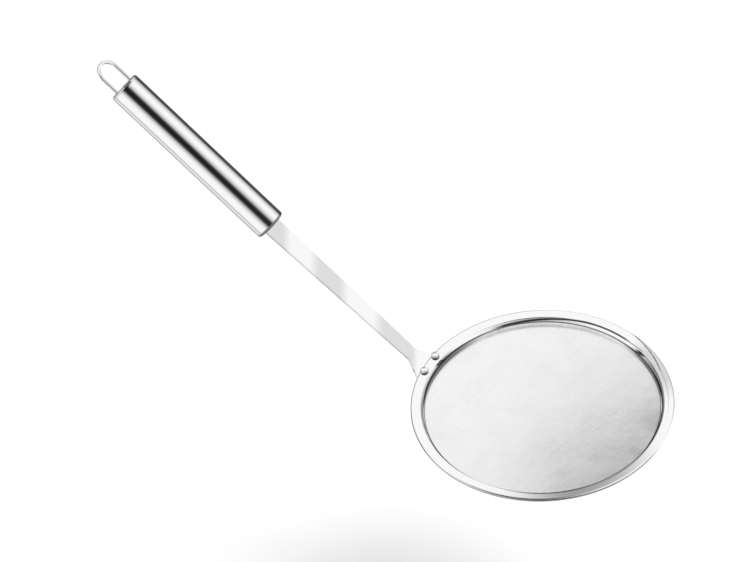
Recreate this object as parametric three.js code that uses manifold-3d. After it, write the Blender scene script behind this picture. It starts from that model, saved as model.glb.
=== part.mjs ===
// A kitchen skimmer: a shallow round bowl of fine wire cloth in a polished steel rim, on a flat
// steel shank riveted under the rim, with a round tube handle and a wire loop to hang it by.
// Millimetres, +Z up. The bowl lies level with its axis on Z and stands on z = 0.
// The handle rises away from the bowl in the XZ plane, towards +X.
import * as THREE from "three";
import { mergeVertices } from "three/addons/utils/BufferGeometryUtils.js";
import Module from "manifold-3d";

const wasm = await Module();
wasm.setup();

// Rim: a pressed ring, its flange folded double, with an inward lip that carries the wire cloth
const RIM_RADIUS = 70;
const FLANGE_WIDTH = 6.7;
const SHEET_THICKNESS = 0.6;
const BOWL_DEPTH = 4.8;
const FLANGE_BEND_RADIUS = 1.4;
const LIP_WIDTH = 2.6;

// Wire cloth and the ring that clamps its edge on the lip
const CLOTH_THICKNESS = 0.5;
const CLAMP_RING_THICKNESS = 0.5;
const CLAMP_RING_HEIGHT = 2.4;
const NEST_CLEARANCE = 0.3;
const CLOTH_SUPPORT_MARGIN = 3;

// Shank: a flat strip with a fan-shaped foot under the flange and a tang inside the handle
const SHANK_THICKNESS = 1.5;
const SHANK_RISE_DEG = 37.6;
const SHANK_LENGTH = 107.2;
const SHANK_BEND_RADIUS = 8;
const SHANK_WIDTH_AT_HANDLE = 12;
const NECK_WIDTH = 8.2;
const NECK_REACH = 9;
const FOOT_WIDTH = 22;
const FOOT_CORNER_RADIUS = 2;
const FOOT_WALL_CLEARANCE = 0.5;
const FLARE_DEPTH = 2.2;
const TANG_LENGTH = 28;

// Rivets: rounded heads on the flange, flat heads formed under the foot
const RIVET_SIDE_MARGIN = 4.8;
const RIVET_EDGE_DISTANCE = 2.1;
const RIVET_SHANK_RADIUS = 1.3;
const RIVET_HEAD_RADIUS = 2.3;
const RIVET_HEAD_HEIGHT = 1.5;
const RIVET_HEAD_ROUNDING = 0.9;
const RIVET_TAIL_RADIUS = 2.1;
const RIVET_TAIL_HEIGHT = 0.8;
const RIVET_CLEARANCE = 0.25;

// Handle: a thin tube with a pressed cap in each end
const HANDLE_TILT_DEG = 39;
const HANDLE_LENGTH = 108.8;
const HANDLE_RADIUS = 9;
const TUBE_WALL = 0.6;
const CAP_THICKNESS = 1.8;
const CAP_EDGE_RADIUS = 1.6;
const CAP_SKIRT_LENGTH = 6;
const CAP_SKIRT_WALL = 0.5;
const HANDLE_CLEARANCE = 0.3;

// Hanging loop: a U of round wire, its legs held in the rear cap
const WIRE_RADIUS = 1;
const LOOP_LEG_SPACING = 12.4;
const LOOP_REACH = 17.1;
const LOOP_LEG_DEPTH = 10;

// How finely round shapes are divided
const BOWL_STEPS = 72;
const HANDLE_STEPS = 36;
const RIVET_STEPS = 18;
const WIRE_STEPS = 10;
const LOOP_STEPS = 30;
const EDGE_STEPS = 6;

// Levels and radii that follow from the sizes above
const FLANGE_THICKNESS = 2 * SHEET_THICKNESS;
const CLOTH_BOTTOM = SHEET_THICKNESS;
const CLOTH_TOP = CLOTH_BOTTOM + CLOTH_THICKNESS;
const FLANGE_TOP = CLOTH_TOP + BOWL_DEPTH;
const FLANGE_BOTTOM = FLANGE_TOP - FLANGE_THICKNESS;
const WALL_INNER_RADIUS = RIM_RADIUS - FLANGE_WIDTH;
const WALL_OUTER_RADIUS = WALL_INNER_RADIUS + SHEET_THICKNESS;
const LIP_INNER_RADIUS = WALL_INNER_RADIUS - LIP_WIDTH;
const CLAMP_OUTER_RADIUS = WALL_INNER_RADIUS - NEST_CLEARANCE;
const FOOT_TOP = FLANGE_BOTTOM;
const FOOT_BOTTOM = FOOT_TOP - SHANK_THICKNESS;
const SHANK_RISE = THREE.MathUtils.degToRad(SHANK_RISE_DEG);
const HANDLE_TILT = THREE.MathUtils.degToRad(HANDLE_TILT_DEG);

// The shank's middle line: flat under the flange, an arc from the rim's edge, straight to the handle
const FOOT_MIDDLE = (FOOT_TOP + FOOT_BOTTOM) / 2;
const BEND_END_X = RIM_RADIUS + SHANK_BEND_RADIUS * Math.sin(SHANK_RISE);
const BEND_END_Z = FOOT_MIDDLE + SHANK_BEND_RADIUS * (1 - Math.cos(SHANK_RISE));
const MOUTH_X = BEND_END_X + SHANK_LENGTH * Math.cos(SHANK_RISE);
const MOUTH_Z = BEND_END_Z + SHANK_LENGTH * Math.sin(SHANK_RISE);

const polishedSteel = new THREE.MeshStandardMaterial({ color: 0xdcdcdd, roughness: 0.08, metalness: 1 });
const satinSteel = new THREE.MeshStandardMaterial({ color: 0xd2d1d2, roughness: 0.3, metalness: 1 });
const wireSteel = new THREE.MeshStandardMaterial({ color: 0xd8d8d8, roughness: 0.15, metalness: 1 });
const clothSteel = new THREE.MeshStandardMaterial({ color: 0xcfcecf, roughness: 0.45, metalness: 1 });

// A geometry with only positions, its shared vertices merged and its collapsed triangles dropped
function merged(geometry) {
  const bare = geometry.clone();
  bare.deleteAttribute("normal");
  bare.deleteAttribute("uv");
  const welded = mergeVertices(bare, 1e-4);
  const corners = welded.index.array;
  const kept = [];
  for (let i = 0; i < corners.length; i += 3) {
    const [a, b, c] = [corners[i], corners[i + 1], corners[i + 2]];
    if (a !== b && b !== c && c !== a) kept.push(a, b, c);
  }
  welded.setIndex(kept);
  return welded;
}

function toSolid(geometry) {
  const body = merged(geometry);
  const vertProperties = new Float32Array(body.attributes.position.array);
  const triVerts = new Uint32Array(body.index.array);
  return new wasm.Manifold(new wasm.Mesh({ numProp: 3, vertProperties, triVerts }));
}

function toGeometry(solid) {
  const mesh = solid.getMesh();
  const geometry = new THREE.BufferGeometry();
  geometry.setAttribute("position", new THREE.BufferAttribute(mesh.vertProperties, 3));
  geometry.setIndex(new THREE.BufferAttribute(mesh.triVerts, 1));
  geometry.computeVertexNormals();
  return geometry;
}

// Turns a profile of [radius, height] points about the Z axis
function turned(profile, steps) {
  const points = profile.map(([radius, height]) => new THREE.Vector2(radius, height));
  const lathe = new THREE.LatheGeometry(points, steps).rotateX(Math.PI / 2);
  return merged(lathe);
}

// Points of a rounded corner or edge in a profile, from one angle to another
function arc(radius, height, size, from, to) {
  const points = [];
  for (let i = 0; i <= EDGE_STEPS; i++) {
    const angle = THREE.MathUtils.degToRad(from + ((to - from) * i) / EDGE_STEPS);
    points.push([radius + size * Math.cos(angle), height + size * Math.sin(angle)]);
  }
  return points;
}

// A round bar along Z, used for holes
function bar(radius, bottom, top, steps) {
  return turned([[0, bottom], [radius, bottom], [radius, top], [0, top]], steps);
}

function piece(name, geometry, material) {
  const mesh = new THREE.Mesh(geometry, material);
  mesh.name = name;
  return mesh;
}

// Rivet places on the flange, either side of the handle's plane
const RIVET_RADIUS_FROM_AXIS = RIM_RADIUS - RIVET_EDGE_DISTANCE;
const RIVET_Y = FOOT_WIDTH / 2 - RIVET_SIDE_MARGIN;
const RIVET_X = Math.sqrt(RIVET_RADIUS_FROM_AXIS ** 2 - RIVET_Y ** 2);
const RIVET_SIDES = [["rivet_left", RIVET_Y], ["rivet_right", -RIVET_Y]];

function cutRivetHoles(solid) {
  const overrun = FLANGE_THICKNESS + SHANK_THICKNESS;
  const radius = RIVET_SHANK_RADIUS + RIVET_CLEARANCE;
  for (const [, y] of RIVET_SIDES) {
    const hole = bar(radius, FOOT_BOTTOM - overrun, FLANGE_TOP + overrun, RIVET_STEPS);
    solid = solid.subtract(toSolid(hole.translate(RIVET_X, y, 0)));
  }
  return solid;
}

// Rim: flange with a rounded outer fold, a bend into the wall, and the lip under the cloth
function makeRim() {
  const edge = FLANGE_THICKNESS / 2;
  const bend = FLANGE_BEND_RADIUS;
  const profile = [
    [LIP_INNER_RADIUS, 0],
    [WALL_OUTER_RADIUS, 0],
    [WALL_OUTER_RADIUS, FLANGE_BOTTOM],
    ...arc(RIM_RADIUS - edge, FLANGE_BOTTOM + edge, edge, -90, 90),
    ...arc(WALL_INNER_RADIUS + bend, FLANGE_TOP - bend, bend, 90, 180),
    [WALL_INNER_RADIUS, CLOTH_BOTTOM],
    [LIP_INNER_RADIUS, CLOTH_BOTTOM],
    [LIP_INNER_RADIUS, 0],
  ];
  const ring = toSolid(turned(profile, BOWL_STEPS));
  return piece("rim_ring", toGeometry(cutRivetHoles(ring)), polishedSteel);
}

// Wire cloth: a flat disc that lies on the lip inside the wall
function makeCloth() {
  const radius = WALL_INNER_RADIUS - NEST_CLEARANCE;
  const open = LIP_INNER_RADIUS - CLOTH_SUPPORT_MARGIN;
  const profile = [
    [0, CLOTH_BOTTOM],
    [open, CLOTH_BOTTOM],
    [radius, CLOTH_BOTTOM],
    [radius, CLOTH_TOP],
    [0, CLOTH_TOP],
  ];
  return piece("mesh_disc", turned(profile, BOWL_STEPS), clothSteel);
}

// Clamp ring: a plain band that sits on the cloth's edge inside the wall
function makeClampRing() {
  const inner = CLAMP_OUTER_RADIUS - CLAMP_RING_THICKNESS;
  const top = CLOTH_TOP + CLAMP_RING_HEIGHT;
  const profile = [
    [inner, CLOTH_TOP],
    [CLAMP_OUTER_RADIUS, CLOTH_TOP],
    [CLAMP_OUTER_RADIUS, top],
    [inner, top],
    [inner, CLOTH_TOP],
  ];
  return piece("mesh_clamp_ring", turned(profile, BOWL_STEPS), polishedSteel);
}

// The shank's side view, with x along the handle's plane and y up
function shankSide(inner, tangX, tangZ) {
  const half = SHANK_THICKNESS / 2;
  const centreZ = FOOT_MIDDLE + SHANK_BEND_RADIUS;
  const start = -Math.PI / 2;
  const end = start + SHANK_RISE;
  const middle = (SHANK_RISE + HANDLE_TILT) / 2;
  const kink = half / Math.cos((HANDLE_TILT - SHANK_RISE) / 2);
  const side = new THREE.Shape();
  side.moveTo(inner, FOOT_BOTTOM);
  side.lineTo(RIM_RADIUS, FOOT_BOTTOM);
  side.absarc(RIM_RADIUS, centreZ, SHANK_BEND_RADIUS + half, start, end, false);
  side.lineTo(MOUTH_X + kink * Math.sin(middle), MOUTH_Z - kink * Math.cos(middle));
  side.lineTo(tangX + half * Math.sin(HANDLE_TILT), tangZ - half * Math.cos(HANDLE_TILT));
  side.lineTo(tangX - half * Math.sin(HANDLE_TILT), tangZ + half * Math.cos(HANDLE_TILT));
  side.lineTo(MOUTH_X - kink * Math.sin(middle), MOUTH_Z + kink * Math.cos(middle));
  side.absarc(RIM_RADIUS, centreZ, SHANK_BEND_RADIUS - half, end, start, true);
  side.lineTo(inner, FOOT_TOP);
  return side;
}

// The shank's outline seen from above: foot, concave flare, neck, taper to the handle, tang
function shankPlan(inner, farX) {
  const foot = FOOT_WIDTH / 2;
  const neck = NECK_WIDTH / 2;
  const wide = SHANK_WIDTH_AT_HANDLE / 2;
  const neckX = RIM_RADIUS + NECK_REACH;
  const bowX = (RIM_RADIUS + neckX) / 2;
  const bowY = (foot + neck) / 2 - FLARE_DEPTH / 2;
  const innerX = Math.sqrt(inner ** 2 - foot ** 2);
  const innerAngle = Math.asin((foot - FOOT_CORNER_RADIUS) / inner);
  const cornerX = innerX + FOOT_CORNER_RADIUS;
  const plan = new THREE.Shape();
  plan.moveTo(cornerX, -foot);
  plan.lineTo(Math.sqrt(RIM_RADIUS ** 2 - foot ** 2), -foot);
  plan.quadraticCurveTo(bowX, -bowY, neckX, -neck);
  plan.lineTo(MOUTH_X, -wide);
  plan.lineTo(farX, -wide);
  plan.lineTo(farX, wide);
  plan.lineTo(MOUTH_X, wide);
  plan.lineTo(neckX, neck);
  plan.quadraticCurveTo(bowX, bowY, Math.sqrt(RIM_RADIUS ** 2 - foot ** 2), foot);
  plan.lineTo(cornerX, foot);
  plan.lineTo(inner * Math.cos(innerAngle), inner * Math.sin(innerAngle));
  plan.absarc(0, 0, inner, innerAngle, -innerAngle, true);
  return plan;
}

// Shank: the bent strip is its side view drawn across, cut to its outline from above
function makeShank() {
  const inner = WALL_OUTER_RADIUS + FOOT_WALL_CLEARANCE;
  const innerX = inner * Math.cos(Math.asin(FOOT_WIDTH / 2 / inner)) - FOOT_WIDTH;
  const tangX = MOUTH_X + TANG_LENGTH * Math.cos(HANDLE_TILT);
  const tangZ = MOUTH_Z + TANG_LENGTH * Math.sin(HANDLE_TILT);
  const margin = SHANK_THICKNESS;
  const width = FOOT_WIDTH + SHANK_WIDTH_AT_HANDLE + 2 * margin;
  const side = new THREE.ExtrudeGeometry(shankSide(innerX, tangX, tangZ), {
    depth: width,
    bevelEnabled: false,
    curveSegments: EDGE_STEPS,
  });
  side.rotateX(Math.PI / 2).translate(0, width / 2, 0);
  const plan = new THREE.ExtrudeGeometry(shankPlan(inner, tangX + margin), {
    depth: tangZ + 2 * margin,
    bevelEnabled: false,
    curveSegments: EDGE_STEPS,
  });
  plan.translate(0, 0, -margin);
  const strip = toSolid(side).intersect(toSolid(plan));
  return piece("shank", toGeometry(cutRivetHoles(strip)), satinSteel);
}

// Rivet: rounded head, plain body through flange and foot, flat formed tail
function makeRivet(name, y) {
  const top = FLANGE_TOP + RIVET_HEAD_HEIGHT;
  const round = RIVET_HEAD_ROUNDING;
  const profile = [
    [0, FOOT_BOTTOM - RIVET_TAIL_HEIGHT],
    [RIVET_TAIL_RADIUS, FOOT_BOTTOM - RIVET_TAIL_HEIGHT],
    [RIVET_TAIL_RADIUS, FOOT_BOTTOM],
    [RIVET_SHANK_RADIUS, FOOT_BOTTOM],
    [RIVET_SHANK_RADIUS, FLANGE_TOP],
    [RIVET_HEAD_RADIUS, FLANGE_TOP],
    ...arc(RIVET_HEAD_RADIUS - round, top - round, round, 0, 90),
    [0, top],
  ];
  const rivet = piece(name, turned(profile, RIVET_STEPS), polishedSteel);
  rivet.position.set(RIVET_X, y, 0);
  return rivet;
}

// A cap's profile, its face at z = 0 and its skirt reaching into the tube
function capProfile() {
  const skirt = HANDLE_RADIUS - TUBE_WALL - HANDLE_CLEARANCE;
  const inside = skirt - CAP_SKIRT_WALL;
  const depth = CAP_THICKNESS + CAP_SKIRT_LENGTH;
  return [
    [0, 0],
    ...arc(HANDLE_RADIUS - CAP_EDGE_RADIUS, CAP_EDGE_RADIUS, CAP_EDGE_RADIUS, -90, 0),
    [HANDLE_RADIUS, CAP_THICKNESS],
    [skirt, CAP_THICKNESS],
    [skirt, depth],
    [inside, depth],
    [inside, CAP_THICKNESS],
    [0, CAP_THICKNESS],
  ];
}

// Front cap: a slot in its face lets the tang through
function makeFrontCap() {
  const cap = toSolid(turned(capProfile(), HANDLE_STEPS));
  const slotWidth = SHANK_WIDTH_AT_HANDLE + 2 * HANDLE_CLEARANCE;
  const slotHeight = SHANK_THICKNESS + 2 * HANDLE_CLEARANCE;
  const slot = new THREE.BoxGeometry(slotHeight, slotWidth, 4 * CAP_THICKNESS);
  return piece("front_end_cap", toGeometry(cap.subtract(toSolid(slot))), polishedSteel);
}

// Rear cap: two holes take the loop's legs; its face looks away from the bowl
function makeRearCap() {
  let cap = toSolid(turned(capProfile(), HANDLE_STEPS).rotateX(Math.PI));
  const depth = 2 * (CAP_THICKNESS + CAP_SKIRT_LENGTH);
  for (const side of [-1, 1]) {
    const hole = bar(WIRE_RADIUS + HANDLE_CLEARANCE, -depth, CAP_THICKNESS, WIRE_STEPS);
    cap = cap.subtract(toSolid(hole.translate(0, (side * LOOP_LEG_SPACING) / 2, 0)));
  }
  const mesh = piece("rear_end_cap", toGeometry(cap), polishedSteel);
  mesh.position.z = HANDLE_LENGTH;
  return mesh;
}

function makeTube() {
  const seam = CAP_THICKNESS + HANDLE_CLEARANCE;
  const inner = HANDLE_RADIUS - TUBE_WALL;
  const profile = [
    [inner, seam],
    [HANDLE_RADIUS, seam],
    [HANDLE_RADIUS, HANDLE_LENGTH - seam],
    [inner, HANDLE_LENGTH - seam],
    [inner, seam],
  ];
  return piece("handle_tube", turned(profile, HANDLE_STEPS), polishedSteel);
}

// The loop's middle line, by distance along it: a leg, a half circle, the other leg
class LoopLine extends THREE.Curve {
  constructor(radius, leg) {
    super();
    this.radius = radius;
    this.leg = leg;
  }

  getPoint(t, target = new THREE.Vector3()) {
    const bow = Math.PI * this.radius;
    const along = t * (2 * this.leg + bow);
    if (along <= this.leg) return target.set(0, -this.radius, along);
    if (along >= this.leg + bow) return target.set(0, this.radius, 2 * this.leg + bow - along);
    const angle = (along - this.leg) / this.radius;
    return target.set(0, -this.radius * Math.cos(angle), this.leg + this.radius * Math.sin(angle));
  }
}

function makeLoop() {
  const radius = LOOP_LEG_SPACING / 2;
  const leg = LOOP_LEG_DEPTH + LOOP_REACH - WIRE_RADIUS - radius;
  const section = new THREE.Shape().absarc(0, 0, WIRE_RADIUS, 0, 2 * Math.PI, false);
  const wire = new THREE.ExtrudeGeometry(section, {
    steps: LOOP_STEPS,
    curveSegments: WIRE_STEPS / 2,
    extrudePath: new LoopLine(radius, leg),
  });
  const loop = piece("hanging_loop", merged(wire), wireSteel);
  loop.position.z = HANDLE_LENGTH - LOOP_LEG_DEPTH;
  return loop;
}

// The handle is built along its own Z from the front cap's face and then tilted into place
const handle = new THREE.Group();
handle.position.set(MOUTH_X, 0, MOUTH_Z);
handle.rotation.y = Math.PI / 2 - HANDLE_TILT;
handle.add(makeFrontCap(), makeTube(), makeRearCap(), makeLoop());

const bowl = new THREE.Group();
bowl.add(makeRim(), makeCloth(), makeClampRing());

const skimmer = new THREE.Group();
skimmer.add(bowl, makeShank(), handle);
for (const [name, y] of RIVET_SIDES) skimmer.add(makeRivet(name, y));

export default skimmer;
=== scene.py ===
import math

import bmesh
import bpy
from mathutils import Matrix, Vector


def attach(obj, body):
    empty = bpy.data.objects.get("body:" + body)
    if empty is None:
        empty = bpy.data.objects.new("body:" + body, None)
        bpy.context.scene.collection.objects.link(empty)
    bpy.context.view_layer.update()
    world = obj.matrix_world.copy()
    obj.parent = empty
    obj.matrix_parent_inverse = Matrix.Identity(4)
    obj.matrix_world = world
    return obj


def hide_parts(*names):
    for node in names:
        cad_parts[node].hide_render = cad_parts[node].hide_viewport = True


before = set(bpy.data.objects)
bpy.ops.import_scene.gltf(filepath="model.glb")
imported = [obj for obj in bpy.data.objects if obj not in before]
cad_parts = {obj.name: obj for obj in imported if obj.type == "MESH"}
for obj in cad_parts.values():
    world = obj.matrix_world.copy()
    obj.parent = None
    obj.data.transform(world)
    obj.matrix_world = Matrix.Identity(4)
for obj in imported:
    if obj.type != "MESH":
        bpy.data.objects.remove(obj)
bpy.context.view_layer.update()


# Rim ring: the bowl's frame, pressed from stainless sheet. Its flange is folded double at the outer
# edge, its wall drops to a lip turned in under the wire cloth, and the strip's two ends meet in a
# lap seam that was ground flush and polished along the ring.
class Shade:
    """A value in a shader: arithmetic on it adds Math nodes, and node() adds any other node."""

    def __init__(self, tree, socket):
        self.tree = tree
        self.socket = socket

    def node(self, kind, settings=None, sockets=None, output=0):
        made = self.tree.nodes.new(kind)
        for name, setting in (settings or {}).items():
            setattr(made, name, setting)
        for name, value in (sockets or {}).items():
            if isinstance(value, Shade):
                self.tree.links.new(value.socket, made.inputs[name])
            else:
                made.inputs[name].default_value = value
        return Shade(self.tree, made.outputs[output])

    def maths(self, operation, *values):
        sockets = dict(enumerate(values))
        return self.node("ShaderNodeMath", {"operation": operation}, sockets)

    def __add__(self, other):
        return self.maths("ADD", self, other)

    def __radd__(self, other):
        return self.maths("ADD", other, self)

    def __sub__(self, other):
        return self.maths("SUBTRACT", self, other)

    def __rsub__(self, other):
        return self.maths("SUBTRACT", other, self)

    def __mul__(self, other):
        return self.maths("MULTIPLY", self, other)

    def __rmul__(self, other):
        return self.maths("MULTIPLY", other, self)

    def __truediv__(self, other):
        return self.maths("DIVIDE", self, other)

    def __pow__(self, other):
        return self.maths("POWER", self, other)

    def __abs__(self):
        return self.maths("ABSOLUTE", self)

    def maximum(self, other):
        return self.maths("MAXIMUM", self, other)

    def minimum(self, other):
        return self.maths("MINIMUM", self, other)

    def angle_over(self, other):
        """The angle in radians whose tangent is this value over another."""
        return self.maths("ARCTAN2", self, other)

    def smooth(self, low, high):
        """0 below low, 1 above high, with a soft step between."""
        sockets = {"Value": self, "From Min": low, "From Max": high}
        return self.node("ShaderNodeMapRange", {"interpolation_type": "SMOOTHSTEP"}, sockets)

    def mix_colour(self, first, second):
        """The first colour where this value is 0 and the second where it is 1."""
        first, second = (c if isinstance(c, Shade) else (*c, 1) for c in (first, second))
        sockets = {0: self, 6: first, 7: second}
        return self.node("ShaderNodeMix", {"data_type": "RGBA"}, sockets, output=2)


class SteelFinish:
    """A steel surface: its material, its shader and the place of each point on the object."""

    def __init__(self, name):
        self.material = bpy.data.materials.new(name)
        self.material.use_nodes = True
        tree = self.material.node_tree
        self.shader = tree.nodes["Principled BSDF"]
        self.shader.inputs["Metallic"].default_value = 1.0
        coordinates = tree.nodes.new("ShaderNodeTexCoord")
        self.place = Shade(tree, coordinates.outputs["Object"])
        split = self.place.node("ShaderNodeSeparateXYZ", None, {0: self.place})
        self.x, self.y, self.z = (Shade(tree, s) for s in split.socket.node.outputs)

    def set(self, socket, value):
        if isinstance(value, Shade):
            value.tree.links.new(value.socket, self.shader.inputs[socket])
        else:
            self.shader.inputs[socket].default_value = value

    def noise(self, x, y, z):
        point = self.place.node("ShaderNodeCombineXYZ", None, {0: x, 1: y, 2: z})
        sockets = {"Vector": point, "Scale": 1.0, "Detail": 3.0}
        return self.place.node("ShaderNodeTexNoise", None, sockets)

    def bump(self, height, strength, distance):
        sockets = {"Height": height, "Strength": strength, "Distance": distance}
        self.set("Normal", self.place.node("ShaderNodeBump", None, sockets))


def rising(angle, first, last):
    """A soft step of an angle in radians, from 0 at a first to 1 at a last angle in degrees."""
    return angle.smooth(math.radians(first), math.radians(last))


def between(angle, first, last, fade):
    """1 where an angle in radians lies between two in degrees, fading to 0 over a few degrees."""
    rise = rising(angle, first - fade, first + fade)
    return rise * (1 - rising(angle, last - fade, last + fade))


def turned(corners, steps):
    """A mesh turned about Z from a closed section of (radius, height, rounding) corners."""
    bm = bmesh.new()
    points = [bm.verts.new((radius, 0, height)) for radius, height, _ in corners]
    bm.faces.new(points)
    for point, (_, _, rounding) in zip(points, corners):
        if rounding:
            bmesh.ops.bevel(bm, geom=[point], offset=rounding, segments=6, profile=0.5,
                            affect="VERTICES", material=-1)
    bmesh.ops.delete(bm, geom=bm.faces[:], context="FACES_ONLY")
    on_axis = [edge for edge in bm.edges if all(point.co.x < 1e-7 for point in edge.verts)]
    bmesh.ops.delete(bm, geom=on_axis, context="EDGES")
    bmesh.ops.spin(bm, geom=bm.edges[:], cent=(0, 0, 0), axis=(0, 0, 1), angle=2 * math.pi,
                   steps=steps, use_merge=True)
    return bm


def set_piece(bm, name, node, finish, crease=32):
    """Closes a mesh, shades it smooth up to the crease angle and puts it in place of a solid."""
    bmesh.ops.remove_doubles(bm, verts=bm.verts, dist=1e-6)
    bmesh.ops.dissolve_degenerate(bm, edges=bm.edges, dist=1e-7)
    bmesh.ops.recalc_face_normals(bm, faces=bm.faces)
    mesh = bpy.data.meshes.new(name)
    bm.to_mesh(mesh)
    bm.free()
    mesh.polygons.foreach_set("use_smooth", [True] * len(mesh.polygons))
    mesh.set_sharp_from_angle(angle=math.radians(crease))
    mesh.materials.append(finish.material)
    piece = bpy.data.objects.new(name, mesh)
    bpy.context.scene.collection.objects.link(piece)
    piece.modifiers.new("weighted", "WEIGHTED_NORMAL").keep_sharp = True
    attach(piece, "root")
    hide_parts(node)


rim_radius, wall_radius, sheet, lip_width = 0.0700, 0.0633, 0.0006, 0.0026
flange_top, flange_bottom = 0.0059, 0.0047
flange_mid_radius, flange_mid_drop = 0.0672, 0.000185
lean_start, lean_width, lean_drop = 0.0034, 0.0012, 0.00041
back_lean_start, back_lean_width = 0.0026, 0.0013
ring_steps = 256
bm = turned([
    (wall_radius - lip_width, 0.0, 0.0002),
    (wall_radius + sheet, 0.0, 0.0006),
    (wall_radius + sheet, back_lean_start, 0.0003),
    (wall_radius + back_lean_width, flange_bottom, 0.0002),
    (rim_radius, flange_bottom, 0.0003),
    (rim_radius, flange_top, 0.0008),
    (flange_mid_radius, flange_top - flange_mid_drop, 0.0018),
    (wall_radius + lean_width, flange_top - lean_drop, 0.0003),
    (wall_radius, lean_start, 0.0003),
    (wall_radius, sheet, 0.0),
    (wall_radius - lip_width, sheet, 0.0002),
], ring_steps)

# The dark colour of the seam lines and of the painted shade on the rim, clamp ring and rivets.
painted_shade_and_seam_dark = (0.06, 0.06, 0.06)
rim_steel = SteelFinish("rim_steel")
radius = (rim_steel.x ** 2 + rim_steel.y ** 2) ** 0.5
round_angle = rim_steel.y.angle_over(rim_steel.x)
ring_lines = rim_steel.noise(radius * 9000, round_angle * 3, rim_steel.z * 4000)

# Painted dark reflection: a dark line along the bend at the top of the wall, falling towards the
# clamp ring on the far side.
painted_reflection_height = 0.00535 - 0.0014 * rising(round_angle, -95, -45)
painted_reflection_width = 0.00042 + 0.00014 * between(round_angle, -70, -38, 10)
crease = 1 - (abs(rim_steel.z - painted_reflection_height) / painted_reflection_width).smooth(0.6, 1.3)
crease = crease * between(round_angle, -110, -40, 5) * (1 - radius.smooth(0.0648, 0.0650))

# Painted shade: a dark band low on the wall's inside, down to the cloth, reaching higher on the
# left and right.
left_rise = rising(round_angle, -38, -2) * (1 - 0.7 * rising(round_angle, 14, 30))
right_rise = 1 - rising(round_angle, -148, -120)
painted_shade_top = 0.0032 + 0.0011 * left_rise + 0.0014 * right_rise
painted_shade_band = 1 - (rim_steel.z - painted_shade_top).smooth(-0.0002, 0.0003)
painted_shade_band = painted_shade_band * rim_steel.z.smooth(0.0006, 0.0008)
painted_shade_band = painted_shade_band * (0.9 - 0.35 * rising(round_angle, 8, 30))
painted_shade_band = painted_shade_band * (1 - 0.8 * between(round_angle, 44, 96, 8))

# Painted dark reflections: a line along the fold near the flange's outer edge, and lines along its
# inner and outer edges on the near side.
fold_painted_reflection = radius.smooth(0.0686, 0.0690) * (1 - radius.smooth(0.0694, 0.0697))
fold_painted_reflection = fold_painted_reflection * between(round_angle, 86, 132, 16) * rim_steel.z.smooth(0.0049, 0.0052)
inner_edge_painted_reflection = between(round_angle, 106, 138, 9) * (1 - radius.smooth(0.0649, 0.0654))
inner_edge_painted_reflection = 0.9 * inner_edge_painted_reflection * rim_steel.z.smooth(0.0048, 0.0052)
outer_edge_painted_reflection = 0.55 * radius.smooth(0.0695, 0.0698) * between(round_angle, 52, 174, 6)

seam_angle, seam_radius = math.radians(-110), 0.067
seam_along = (round_angle - seam_angle) * seam_radius
seam_line = (0.0693 + 0.092 * seam_along).maximum(0.0668)
seam_breaks = rim_steel.noise(round_angle * 30, 0.0, 0.0).smooth(0.35, 0.55)
seam_strength = (0.45 + 0.5 * seam_breaks) * between(round_angle, -134, -108, 3)
seam_trail = 0.3 * between(round_angle, -160, -130, 12)
outer_seam = 1 - abs(radius - seam_line).smooth(0.0001, 0.0005)
outer_seam = outer_seam * seam_strength.maximum(seam_trail)
inner_seam = 1 - abs(radius - 0.0643 + 0.075 * seam_along).smooth(0.0001, 0.0003)
inner_seam = inner_seam * between(round_angle, -119, -109, 1) * radius.smooth(0.0642, 0.0645)

# The seam lines, together with the painted shade and painted dark reflections above, take the dark
# colour.
seam_and_painted_shade = crease
for mark in (outer_seam, 0.8 * inner_seam, painted_shade_band, fold_painted_reflection, inner_edge_painted_reflection, outer_edge_painted_reflection):
    seam_and_painted_shade = seam_and_painted_shade.maximum(mark)
# The flange is painted greyer for a stretch past the seam.
past_seam = 1 - rising(round_angle, -124, -108)
greyer_past_seam = past_seam.maximum((radius - seam_line).smooth(-0.0003, 0.0008))
greyer_past_seam = 0.85 * greyer_past_seam * between(round_angle, -146, -104, 8)
bright = ring_lines.smooth(0.3, 0.75).mix_colour((0.95, 0.95, 0.955), (0.985, 0.985, 0.985))
bright = greyer_past_seam.mix_colour(bright, (0.64, 0.64, 0.645))
rim_steel.set("Base Color", seam_and_painted_shade.mix_colour(bright, painted_shade_and_seam_dark))
rim_steel.set("Roughness", 0.03 + 0.05 * ring_lines)
rim_steel.bump(ring_lines, 0.02, 0.00003)
set_piece(bm, "rim", "rim_ring", rim_steel)


# Wire cloth: a disc of very fine plain-woven stainless wire, stretched flat with a slight sag. Its
# edge is clamped between the rim's lip and the clamp ring, and light shows through its gaps.
cloth_radius, cloth_top, cloth_thickness = 0.0630, 0.0011, 0.0003
cloth_sag, wave_depth = 0.0006, 0.00008
cloth_rings, cloth_steps = 40, 128
bm = bmesh.new()
hub = bm.verts.new((0, 0, 0))
for ring in range(cloth_rings):
    bmesh.ops.extrude_vert_indiv(bm, verts=[bm.verts[-1] if ring else hub])
    bm.verts.ensure_lookup_table()
    bm.verts[-1].co.x = cloth_radius * (ring + 1) / cloth_rings
bmesh.ops.spin(bm, geom=bm.edges[:], cent=(0, 0, 0), axis=(0, 0, 1), angle=2 * math.pi,
               steps=cloth_steps, use_merge=True)
bmesh.ops.remove_doubles(bm, verts=bm.verts, dist=1e-6)
bmesh.ops.dissolve_degenerate(bm, edges=bm.edges, dist=1e-7)
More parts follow.
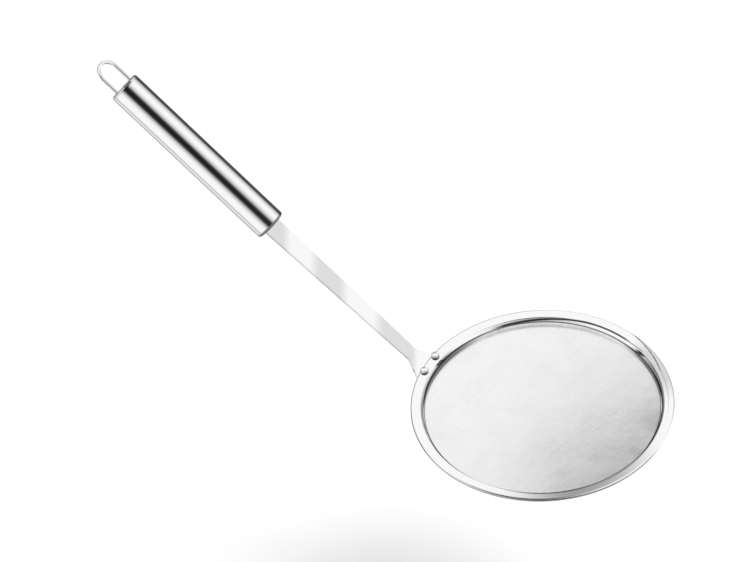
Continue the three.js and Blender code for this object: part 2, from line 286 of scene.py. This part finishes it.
for point in bm.verts:
    share = min(1.0, point.co.xy.length / cloth_radius)
    wave = math.sin(90 * point.co.x + 1.1) * math.sin(70 * point.co.y - 0.4)
    sag = (1 - share ** 2) * (cloth_sag + wave_depth * wave)
    point.co.z = cloth_top - cloth_thickness / 2 - sag
bmesh.ops.recalc_face_normals(bm, faces=bm.faces)
bmesh.ops.solidify(bm, geom=bm.faces[:], thickness=cloth_thickness)

cloth_wire = SteelFinish("cloth_wire")
wire_pitch, lay = 0.0005, math.radians(-12.7)
across = (cloth_wire.x * math.cos(lay) + cloth_wire.y * math.sin(lay)) * (math.pi / wire_pitch)
along = (cloth_wire.y * math.cos(lay) - cloth_wire.x * math.sin(lay)) * (math.pi / wire_pitch)
warp = across.maths("COSINE", across)
weft = along.maths("COSINE", along)
over = warp * weft
warp_bulge, weft_bulge = abs(warp), abs(weft)
weave = (warp_bulge * (0.6 + 0.4 * over)).maximum(weft_bulge * (0.6 - 0.4 * over))
gap = (1 - warp_bulge.smooth(0.18, 0.32)) * (1 - weft_bulge.smooth(0.18, 0.32))

patches = cloth_wire.noise(cloth_wire.x * 60, cloth_wire.y * 60, 0.0)
warp_lines = cloth_wire.noise(across * 0.11, along * 0.008, 0.0)
weft_lines = cloth_wire.noise(across * 0.008, along * 0.11, 5.0)
specks = cloth_wire.noise(cloth_wire.x * 1000, cloth_wire.y * 1000, 3.0)
cloth_sheen = 3.2 * patches + 1.1 * warp_lines + 0.8 * weft_lines + 4.0 * specks - 3.87
cloth_shade = cloth_sheen.mix_colour((0.925, 0.907, 0.913), (1.0, 0.988, 0.992))


def painted_dent_shade(x, y, size):
    """1 at a spot of painted shade on the cloth, fading to 0 at a distance from it."""
    off = ((cloth_wire.x - x) ** 2 + (cloth_wire.y - y) ** 2) ** 0.5
    return 1 - off.smooth(0.1 * size, size)


# Two spots of painted shade near the cloth's edge, where it looks dented.
painted_dent_shades = 0.36 * painted_dent_shade(-0.0575, -0.0180, 0.0130) + 0.24 * painted_dent_shade(-0.0583, 0.0075, 0.0060)
cloth_wire.set("Base Color", painted_dent_shades.mix_colour(cloth_shade, (0.50, 0.49, 0.494)))
cloth_wire.set("Metallic", 0.95)
cloth_wire.set("Roughness", 0.27 + 0.08 * patches)
cloth_wire.set("Alpha", 1 - gap)

hollow_turn_x, hollow_turn_y = 0.877, 0.481
wide_curve, narrow_curve = 3.3, 1.55
wide_way = hollow_turn_x * cloth_wire.x + hollow_turn_y * cloth_wire.y
narrow_way = hollow_turn_x * cloth_wire.y - hollow_turn_y * cloth_wire.x
hollow = wide_way ** 2 * (0.5 * wide_curve) + narrow_way ** 2 * (0.5 * narrow_curve)
waves = cloth_wire.noise(cloth_wire.x * 150, cloth_wire.y * 150, 9.0)
ripples = cloth_wire.noise(cloth_wire.x * 520, cloth_wire.y * 520, 7.0)
uneven = 0.00011 * waves + 0.00003 * ripples + 0.00004 * warp_lines + 0.00003 * weft_lines
cloth_wire.bump(hollow + uneven + 0.000004 * weave, 1.0, 1.0)
set_piece(bm, "cloth", "mesh_disc", cloth_wire)


# Clamp ring: a low band of strip bent into a ring and pressed into the wall on top of the cloth's
# edge. Its top edge is the step half way up the wall, and its far side leans back a little.
clamp_outer, clamp_thickness, clamp_height = 0.0630, 0.0005, 0.0024
clamp_inner, clamp_top = clamp_outer - clamp_thickness, cloth_top + clamp_height
bm = turned([
    (clamp_inner, cloth_top, 0.0001),
    (clamp_outer, cloth_top, 0.0001),
    (clamp_outer, clamp_top, 0.00015),
    (clamp_inner, clamp_top, 0.0001),
], ring_steps)

clamp_steel = SteelFinish("clamp_steel")
around = clamp_steel.y.angle_over(clamp_steel.x)
clamp_lines = clamp_steel.noise(around * 3, clamp_steel.z * 9000, 0.0)
clamp_bright = clamp_lines.mix_colour((0.95, 0.95, 0.955), (1.0, 1.0, 1.0))
# Painted shade: the clamp ring is painted dark except on its far side, darkest on the left.
clamp_painted_shade = between(around, -116, -28, 10).mix_colour((0.30, 0.30, 0.305), clamp_bright)
clamp_painted_shade = (0.8 * between(around, -16, 14, 8)).mix_colour(clamp_painted_shade, painted_shade_and_seam_dark)
# Painted shade along the ring's top cut edge, left bright on part of the near side and paler on the
# right.
cut_edge = clamp_steel.z.smooth(clamp_top - 0.00015, clamp_top - 0.00005)
cut_edge_painted_shade = between(around, 42, 97, 10).mix_colour((0.26, 0.26, 0.26), (0.95, 0.95, 0.95))
paler_painted_edge = rising(around, 150, 170) + 1 - rising(around, -179, -167)
cut_edge_painted_shade = paler_painted_edge.mix_colour(cut_edge_painted_shade, (0.60, 0.60, 0.60))
clamp_steel.set("Base Color", cut_edge.mix_colour(clamp_painted_shade, cut_edge_painted_shade))
clamp_steel.set("Roughness", 0.10 + 0.08 * clamp_lines)
rolled = 0.44 * between(around, -114, -34, 8)
clamp_steel.bump(0.000001 * clamp_lines - rolled * clamp_steel.z, 1.0, 1.0)
set_piece(bm, "clamp_band", "mesh_clamp_ring", clamp_steel)


# Shank: a flat strip of satin stainless steel. Its fan-shaped foot lies under the flange, it bends
# up at the rim's edge, widens towards the handle, and ends in a tang welded inside the tube.
shank_thickness, bend_radius, shank_length = 0.0015, 0.008, 0.1072
shank_rise, handle_tilt = math.radians(37.6), math.radians(39)
foot_half, neck_half, mouth_half, tang_half = 0.0110, 0.0041, 0.0060, 0.0058
flare_start, flare_end, flare_pull, flare_pull_half = 0.0700, 0.0795, 0.0762, 0.0043
tang_start, tang_end, strip_edge = 0.0006, 0.0280, 0.0003
foot_level = flange_bottom - shank_thickness / 2
bend_centre = Vector((rim_radius, 0, foot_level + bend_radius))
bend_end = bend_centre + bend_radius * Vector((math.sin(shank_rise), 0, -math.cos(shank_rise)))
mouth = bend_end + shank_length * Vector((math.cos(shank_rise), 0, math.sin(shank_rise)))
handle_axis = Vector((math.cos(handle_tilt), 0, math.sin(handle_tilt)))


def on_curve(first, pull, last, share):
    """A value on a quadratic curve from a first to a last one, drawn towards a third."""
    return (1 - share) ** 2 * first + 2 * share * (1 - share) * pull + share ** 2 * last


def strip_half_width(x):
    """Half the strip's width at a distance from the bowl's axis: foot, concave flare, taper."""
    if x < flare_start:
        return foot_half
    if x > flare_end:
        share = (x - flare_end) / (mouth.x - flare_end)
        return neck_half + (mouth_half - neck_half) * min(1.0, share)
    share = (x - flare_start) / (flare_end - flare_start)
    for _ in range(20):
        miss = x - on_curve(flare_start, flare_pull, flare_end, share)
        share += miss / (flare_end - flare_start)
    return on_curve(foot_half, flare_pull_half, neck_half, share)


def strip_place(spot, rise, half):
    """The strip's section at a spot on its middle line, turned to its rise and given its width."""
    return (Matrix.Translation(spot) @ Matrix.Rotation(-rise, 4, "Y")
            @ Matrix.Diagonal((1, half / foot_half, 1, 1)))


stations = []
for x, half in ((0.0647, 0.0090), (0.0651, 0.0101), (0.0657, 0.0107), (0.0665, foot_half)):
    stations.append((Vector((x, 0, foot_level)), 0.0, half))
for x in (0.0690, 0.0694, 0.0700):
    stations.append((Vector((x, 0, foot_level)), 0.0, strip_half_width(x)))
bend_steps = 10
for step in range(1, bend_steps + 1):
    rise = shank_rise * step / bend_steps
    spot = bend_centre + bend_radius * Vector((math.sin(rise), 0, -math.cos(rise)))
    stations.append((spot, rise, strip_half_width(spot.x)))
flare_shares = (0.01, 0.02, 0.03, 0.04, 0.05, 0.07)
taper_shares = (0.1, 0.2, 0.3, 0.4, 0.5, 0.6, 0.7, 0.8, 0.9, 0.97, 1.0)
for share in flare_shares + taper_shares:
    spot = bend_end.lerp(mouth, share)
    stations.append((spot, shank_rise, strip_half_width(spot.x)))
for depth in (tang_start, tang_end):
    stations.append((mouth + depth * handle_axis, handle_tilt, tang_half))

bm = bmesh.new()
bmesh.ops.create_grid(bm, x_segments=1, y_segments=1, size=0.5)
bmesh.ops.rotate(bm, verts=bm.verts, cent=(0, 0, 0), matrix=Matrix.Rotation(math.pi / 2, 3, "Y"))
bmesh.ops.scale(bm, verts=bm.verts, vec=(1, 2 * foot_half, shank_thickness))
bmesh.ops.bevel(bm, geom=bm.verts[:], offset=strip_edge, segments=4, profile=0.5,
                affect="VERTICES", material=-1)
before = strip_place(*stations[0])
bmesh.ops.transform(bm, matrix=before, verts=bm.verts)
front = bm.edges[:]
for station in stations[1:]:
    grown = bmesh.ops.extrude_edge_only(bm, edges=front)["geom"]
    front = [item for item in grown if isinstance(item, bmesh.types.BMEdge)]
    moved = [item for item in grown if isinstance(item, bmesh.types.BMVert)]
    after = strip_place(*station)
    bmesh.ops.transform(bm, matrix=after @ before.inverted(), verts=moved)
    before = after
bmesh.ops.contextual_create(bm, geom=front)

shank_satin = SteelFinish("shank_satin")
grain = shank_satin.noise(shank_satin.x * 260, shank_satin.y * 9000, shank_satin.z * 260)
slant = 0.875 * shank_satin.x + 0.480 * shank_satin.y + 0.063 * shank_satin.z
# Painted highlights: three lighter bands across the strip, with random grain laid over them.
upper_sheen = slant.smooth(0.1178, 0.1253) * (1 - slant.smooth(0.1328, 0.1392))
middle_sheen = slant.smooth(0.0834, 0.0910) * (1 - slant.smooth(0.1017, 0.1092))
foot_sheen = 1 - slant.smooth(0.0652, 0.0698)
painted_sheen_and_grain = upper_sheen + middle_sheen + foot_sheen + 0.10 * grain
shank_painted_sheen = painted_sheen_and_grain.mix_colour((0.765, 0.75, 0.755), (0.985, 0.985, 0.985))
shank_satin.set("Base Color", shank_painted_sheen)
shank_satin.set("Roughness", 0.12 + 0.10 * grain)
shank_satin.bump(grain, 0.03, 0.00005)
set_piece(bm, "shank_strip", "shank", shank_satin, crease=50)


# Rivets: two solid stainless rivets with polished rounded heads on the flange. They are driven
# through flange and foot and flattened underneath.
rivet_spacing, rivet_from_axis, rivet_steps = 0.0124, 0.0679, 48
rivet_y = rivet_spacing / 2
rivet_x = math.sqrt(rivet_from_axis ** 2 - rivet_y ** 2)
body_radius, tail_radius, tail_height = 0.0013, 0.0021, 0.0008
head_radius, head_top_radius, head_height = 0.0023, 0.00188, 0.0015
head_sink, head_crown = 0.00005, 0.00005
head_base, head_side_top = flange_top - head_sink, flange_top + 0.0003
head_top = flange_top + head_height
tail_bottom = flange_bottom - shank_thickness - tail_height
tail_top = tail_bottom + tail_height
rivet_steel = SteelFinish("rivet_steel")
wear = rivet_steel.noise(rivet_steel.x * 2200, rivet_steel.y * 2200, rivet_steel.z * 2200)
rivet_bright = wear.mix_colour((0.93, 0.93, 0.935), (0.97, 0.97, 0.97))
off_x = rivet_steel.x - rivet_x
off_y = abs(rivet_steel.y) - rivet_y
# Painted shade on each head: a grey ring round its top and a dark band at its foot, where it meets
# the flange.
head_edge_painted_shade = ((off_x ** 2 + off_y ** 2) ** 0.5).smooth(0.0015, 0.0019)
head_foot_painted_shade = 1 - rivet_steel.z.smooth(head_side_top, flange_top + 0.0008)
head_painted_shade = (0.35 * head_edge_painted_shade).maximum(0.9 * head_foot_painted_shade)
rivet_steel.set("Base Color", head_painted_shade.mix_colour(rivet_bright, painted_shade_and_seam_dark))
rivet_steel.set("Roughness", 0.05 + 0.06 * wear)
rivet_steel.bump(wear, 0.03, 0.00003)
for side, node in ((1, "rivet_left"), (-1, "rivet_right")):
    bm = turned([
        (0.0, tail_bottom, 0.0),
        (tail_radius, tail_bottom, 0.0005),
        (tail_radius, tail_top, 0.0001),
        (body_radius, tail_top, 0.0),
        (body_radius, head_base, 0.0),
        (head_radius, head_base, 0.0001),
        (head_radius, head_side_top, 0.0001),
        (head_top_radius, head_top - head_crown, 0.0003),
        (0.0, head_top, 0.0),
    ], rivet_steps)
    bmesh.ops.translate(bm, vec=(rivet_x, side * rivet_y, 0), verts=bm.verts)
    set_piece(bm, node + "_head", node, rivet_steel)


# Handle: a thin stainless tube, mirror-polished, with a pressed cap in each end. The front cap is
# welded to the strip and the rear cap to the loop. Both caps' ends carry painted shade.
handle_length, handle_radius, tube_wall, fit_gap = 0.1088, 0.0090, 0.0006, 0.0001
cap_thickness, cap_edge, cap_skirt, skirt_wall = 0.0018, 0.0016, 0.0060, 0.0005
round_steps = 128
handle_place = Matrix.Translation(mouth) @ Matrix.Rotation(math.pi / 2 - handle_tilt, 4, "Y")

cap_steel = SteelFinish("cap_steel")
cap_bright = (0.95, 0.95, 0.945)
from_front = cap_steel.x * handle_axis.x + cap_steel.z * handle_axis.z - mouth.dot(handle_axis)
off_cap = (cap_steel.z - mouth.z) * handle_axis.x - (cap_steel.x - mouth.x) * handle_axis.z
tint = cap_steel.noise(cap_steel.x * 500, cap_steel.y * 500, cap_steel.z * 500)
# Painted shade on the caps' ends, darker at the front, and a painted shadow on the rear cap between
# the loop's legs.
from_end = handle_length / 2 - abs(from_front - handle_length / 2)
clear_of_painted_shade = (from_end + 0.0004 * tint).smooth(0.0016, 0.0022)
at_rear = from_front.smooth(0.02, 0.08)
cap_end_painted_shade = at_rear.mix_colour((0.27, 0.27, 0.27), (0.74, 0.74, 0.74))
between_legs_painted_shadow = between(off_cap.angle_over(cap_steel.y), 50, 84, 4)
cap_end_painted_shade = (0.9 * at_rear * between_legs_painted_shadow).mix_colour(cap_end_painted_shade, (0.16, 0.16, 0.16))
cap_steel.set("Base Color", clear_of_painted_shade.mix_colour(cap_end_painted_shade, cap_bright))
cap_steel.set("Roughness", 0.08 + 0.08 * tint)
skirt_radius = handle_radius - tube_wall - fit_gap
for name, node, flip in (("front_cap", "front_end_cap", False), ("rear_cap", "rear_end_cap", True)):
    bm = turned([
        (0.0, 0.0, 0.0),
        (handle_radius, 0.0, cap_edge),
        (handle_radius, cap_thickness, 0.0),
        (skirt_radius, cap_thickness, 0.0),
        (skirt_radius, cap_thickness + cap_skirt, 0.0),
        (skirt_radius - skirt_wall, cap_thickness + cap_skirt, 0.0),
        (skirt_radius - skirt_wall, cap_thickness, 0.0),
        (0.0, cap_thickness, 0.0),
    ], round_steps)
    if flip:
        half_turn = Matrix.Rotation(math.pi, 3, "X")
        bmesh.ops.rotate(bm, verts=bm.verts, cent=(0, 0, 0), matrix=half_turn)
        bmesh.ops.translate(bm, vec=(0, 0, handle_length), verts=bm.verts)
    bmesh.ops.transform(bm, matrix=handle_place, verts=bm.verts)
    set_piece(bm, name, node, cap_steel)

tube_mirror = SteelFinish("tube_mirror")
along_tube = tube_mirror.x * handle_axis.x + tube_mirror.z * handle_axis.z
off_tube = tube_mirror.z * handle_axis.x - tube_mirror.x * handle_axis.z
polish = tube_mirror.noise(along_tube * 60, off_tube * 900, tube_mirror.y * 900)
tube_mirror.set("Base Color", polish.mix_colour((0.95, 0.95, 0.945), (0.975, 0.975, 0.97)))
tube_mirror.set("Roughness", 0.02 + 0.03 * polish)
tube_mirror.bump(polish, 0.01, 0.00002)
tube_start = cap_thickness + fit_gap
tube_end = handle_length - tube_start
bm = turned([
    (handle_radius - tube_wall, tube_start, 0.0),
    (handle_radius, tube_start, 0.0),
    (handle_radius, tube_end, 0.0),
    (handle_radius - tube_wall, tube_end, 0.0),
], round_steps)
bmesh.ops.transform(bm, matrix=handle_place, verts=bm.verts)
set_piece(bm, "tube", "handle_tube", tube_mirror)


# Hanging loop: a U of bright drawn steel wire, bent to a half circle. Its two legs go through the
# rear cap and are welded inside it, so the loop stands still.
wire_radius, leg_spacing, loop_reach, leg_depth = 0.0010, 0.0124, 0.0171, 0.0100
wire_steps, bow_steps = 24, 48
bow_radius = leg_spacing / 2
leg_bottom = handle_length - leg_depth
leg_top = handle_length + loop_reach - wire_radius - bow_radius
bm = bmesh.new()
bmesh.ops.create_circle(bm, cap_ends=False, segments=wire_steps, radius=wire_radius)
bmesh.ops.translate(bm, vec=(0, -bow_radius, leg_bottom), verts=bm.verts)
first_end = bm.edges[:]


def grow_leg(bm, edges, rise):
    """Draws a leg of the loop out of a ring of edges; returns the ring at its other end."""
    grown = bmesh.ops.extrude_edge_only(bm, edges=edges)["geom"]
    moved = [item for item in grown if isinstance(item, bmesh.types.BMVert)]
    bmesh.ops.translate(bm, vec=(0, 0, rise), verts=moved)
    return [item for item in grown if isinstance(item, bmesh.types.BMEdge)]


first_top = grow_leg(bm, first_end, leg_top - leg_bottom)
swept = bmesh.ops.spin(bm, geom=first_top, cent=(0, 0, leg_top), axis=(-1, 0, 0), angle=math.pi,
                       steps=bow_steps)
last_top = [item for item in swept["geom_last"] if isinstance(item, bmesh.types.BMEdge)]
last_end = grow_leg(bm, last_top, leg_bottom - leg_top)
bmesh.ops.contextual_create(bm, geom=first_end)
bmesh.ops.contextual_create(bm, geom=last_end)
bmesh.ops.transform(bm, matrix=handle_place, verts=bm.verts)

loop_wire = SteelFinish("loop_wire")
draw_lines = loop_wire.noise(loop_wire.x * 900, loop_wire.y * 900, loop_wire.z * 900)
loop_wire.set("Base Color", draw_lines.mix_colour((0.92, 0.92, 0.925), (0.97, 0.97, 0.97)))
loop_wire.set("Roughness", 0.03 + 0.06 * draw_lines)
loop_wire.bump(draw_lines, 0.03, 0.00003)
set_piece(bm, "loop", "hanging_loop", loop_wire)


# Studio: a plain white floor below the skimmer and one large soft lamp overhead. The surround is
# white, with a dark opening round the camera, a dark room behind the skimmer, a grey wall beside it
# and the grey edges of a table below it, which the polished steel mirrors.
view_forward = Vector((0.38283, -0.60628, -0.69704))
view_right = Vector((-0.87497, -0.48007, -0.06299))
camera_place = Vector((-0.66906, 1.21427, 1.44565 + flange_top))
focal_pixels, picture_pixels, sensor_width = 3773.21, 750, 36
camera_data = bpy.data.cameras.new("camera")
camera_data.sensor_width = sensor_width
camera_data.lens = sensor_width * focal_pixels / picture_pixels
camera_data.clip_end = 20
camera = bpy.data.objects.new("camera", camera_data)
bpy.context.scene.collection.objects.link(camera)
bpy.context.scene.camera = camera
back = -view_forward.normalized()
right = (view_right - view_right.dot(back) * back).normalized()
up = back.cross(right)
camera_turn = Matrix((right, up, back)).transposed().to_4x4()
camera.matrix_world = Matrix.Translation(camera_place) @ camera_turn

floor_level, floor_glow, floor_white = -0.165, 0.22, (0.80, 0.80, 0.80, 1)
bm = bmesh.new()
bmesh.ops.create_grid(bm, x_segments=1, y_segments=1, size=3)
bmesh.ops.translate(bm, vec=(0, 0, floor_level), verts=bm.verts)
floor_mesh = bpy.data.meshes.new("floor")
bm.to_mesh(floor_mesh)
bm.free()
floor = bpy.data.objects.new("floor", floor_mesh)
bpy.context.scene.collection.objects.link(floor)
floor.visible_glossy = False
floor_paint = bpy.data.materials.new("floor_paint")
floor_paint.use_nodes = True
floor_mesh.materials.append(floor_paint)
tree = floor_paint.node_tree
tree.nodes.remove(tree.nodes["Principled BSDF"])
surface = tree.nodes["Material Output"].inputs["Surface"]
paint = Shade(tree, surface)
glow = paint.node("ShaderNodeEmission", None, {"Color": (1, 1, 1, 1), "Strength": floor_glow})
matte = paint.node("ShaderNodeBsdfDiffuse", None, {"Color": floor_white})
both = paint.node("ShaderNodeAddShader", None, {0: glow, 1: matte})
tree.links.new(both.socket, surface)

world = bpy.data.worlds.new("surround")
bpy.context.scene.world = world
world.use_nodes = True
tree = world.node_tree
background = tree.nodes["Background"]
seen = Shade(tree, tree.nodes.new("ShaderNodeLightPath").outputs["Is Camera Ray"])
direction = Shade(tree, tree.nodes.new("ShaderNodeTexCoord").outputs["Generated"])


def facing(way):
    """How far a direction of the surround points along a fixed one, from -1 to 1."""
    settings = {"operation": "DOT_PRODUCT"}
    return direction.node("ShaderNodeVectorMath", settings, {0: direction, 1: way}, output=1)


def by_stops(value, low, high, stops):
    """A level that follows (value, level) stops between a low and a high value."""
    share = (value - low) / (high - low)
    followed = direction.node("ShaderNodeValToRGB", None, {"Fac": share})
    ramp = followed.socket.node.color_ramp
    while len(ramp.elements) < len(stops):
        ramp.elements.new(0.5)
    for element, (place, level) in zip(ramp.elements, stops):
        element.position = (place - low) / (high - low)
        element.color = (level, level, level, 1)
    return followed


height = facing((0, 0, 1))
level_part = (1 - height ** 2) ** 0.5


def toward(azimuth):
    """How far a direction of the surround, seen from above, points to an azimuth: 1 along it."""
    angle = math.radians(azimuth)
    return facing((math.cos(angle), math.sin(angle), 0)) / level_part


def above(low, high):
    """1 in the part of the surround above a height, with a soft lower edge."""
    return height.smooth(low, high)


def below(low, high):
    """1 in the part of the surround below a height, with a soft upper edge."""
    return 1 - height.smooth(low, high)


from_camera = facing(back)
from_camera = from_camera.maths("ARCCOSINE", from_camera) * (180 / math.pi)
opening = by_stops(from_camera, 0, 90, [
    (0, 0.012), (14, 0.016), (18.5, 0.04), (22.5, 0.11), (26.5, 0.30),
    (31.8, 0.54), (37.5, 0.68), (46, 0.88), (56, 1.0)])

low_front = 1 - 0.40 * toward(145).smooth(0.72, 0.82) * below(-0.25, -0.08)
table = by_stops(height, -1, 1, [(-1, 0.65), (-0.80, 0.80), (-0.72, 0.86), (-0.55, 1.0)])
table_edge = toward(61).smooth(0.85, 0.95) * above(-0.73, -0.69) * below(-0.64, -0.58)
far_table = toward(-30).smooth(0.75, 0.90) * below(-0.75, -0.65)
table = table - 0.36 * table_edge - 0.38 * far_table

room = toward(-50).smooth(0.30, 0.50) * above(-0.60, -0.45) * below(0.10, 0.42)
screen = toward(28).smooth(-0.02, 0.03) * toward(-25).smooth(0.62, 0.85)
screen = screen * above(-0.20, 0.0) * below(0.622, 0.680)
low_side = toward(-38).smooth(0.88, 0.96) * below(-0.35, -0.15)
far_room = toward(180).smooth(0.78, 0.92) * above(-0.34, -0.22) * below(-0.02, 0.10)
grey_wall = toward(-106).smooth(0.86, 0.97) * above(-0.10, 0.10) * below(0.30, 0.64)
dark = (0.92 * room).maximum(0.75 * screen) * (1 - low_side)
dark = dark.maximum(0.80 * far_room).maximum(0.36 * grey_wall)

surround = 0.97 * opening.minimum(table).minimum((1 - dark).minimum(low_front))
tree.links.new(seen.maximum(surround).socket, background.inputs["Color"])
background.inputs["Strength"].default_value = 1.0

lamp_data = bpy.data.lights.new("soft_lamp", "SUN")
lamp_data.energy = 1.35
lamp_data.angle = math.radians(24)
lamp = bpy.data.objects.new("soft_lamp", lamp_data)
bpy.context.scene.collection.objects.link(lamp)
lamp.rotation_mode = "QUATERNION"
lamp.rotation_quaternion = Vector((0.49, 0.275, -1.0)).to_track_quat("-Z", "Y")
lamp.visible_glossy = False

bpy.context.scene.view_settings.view_transform = "Standard"
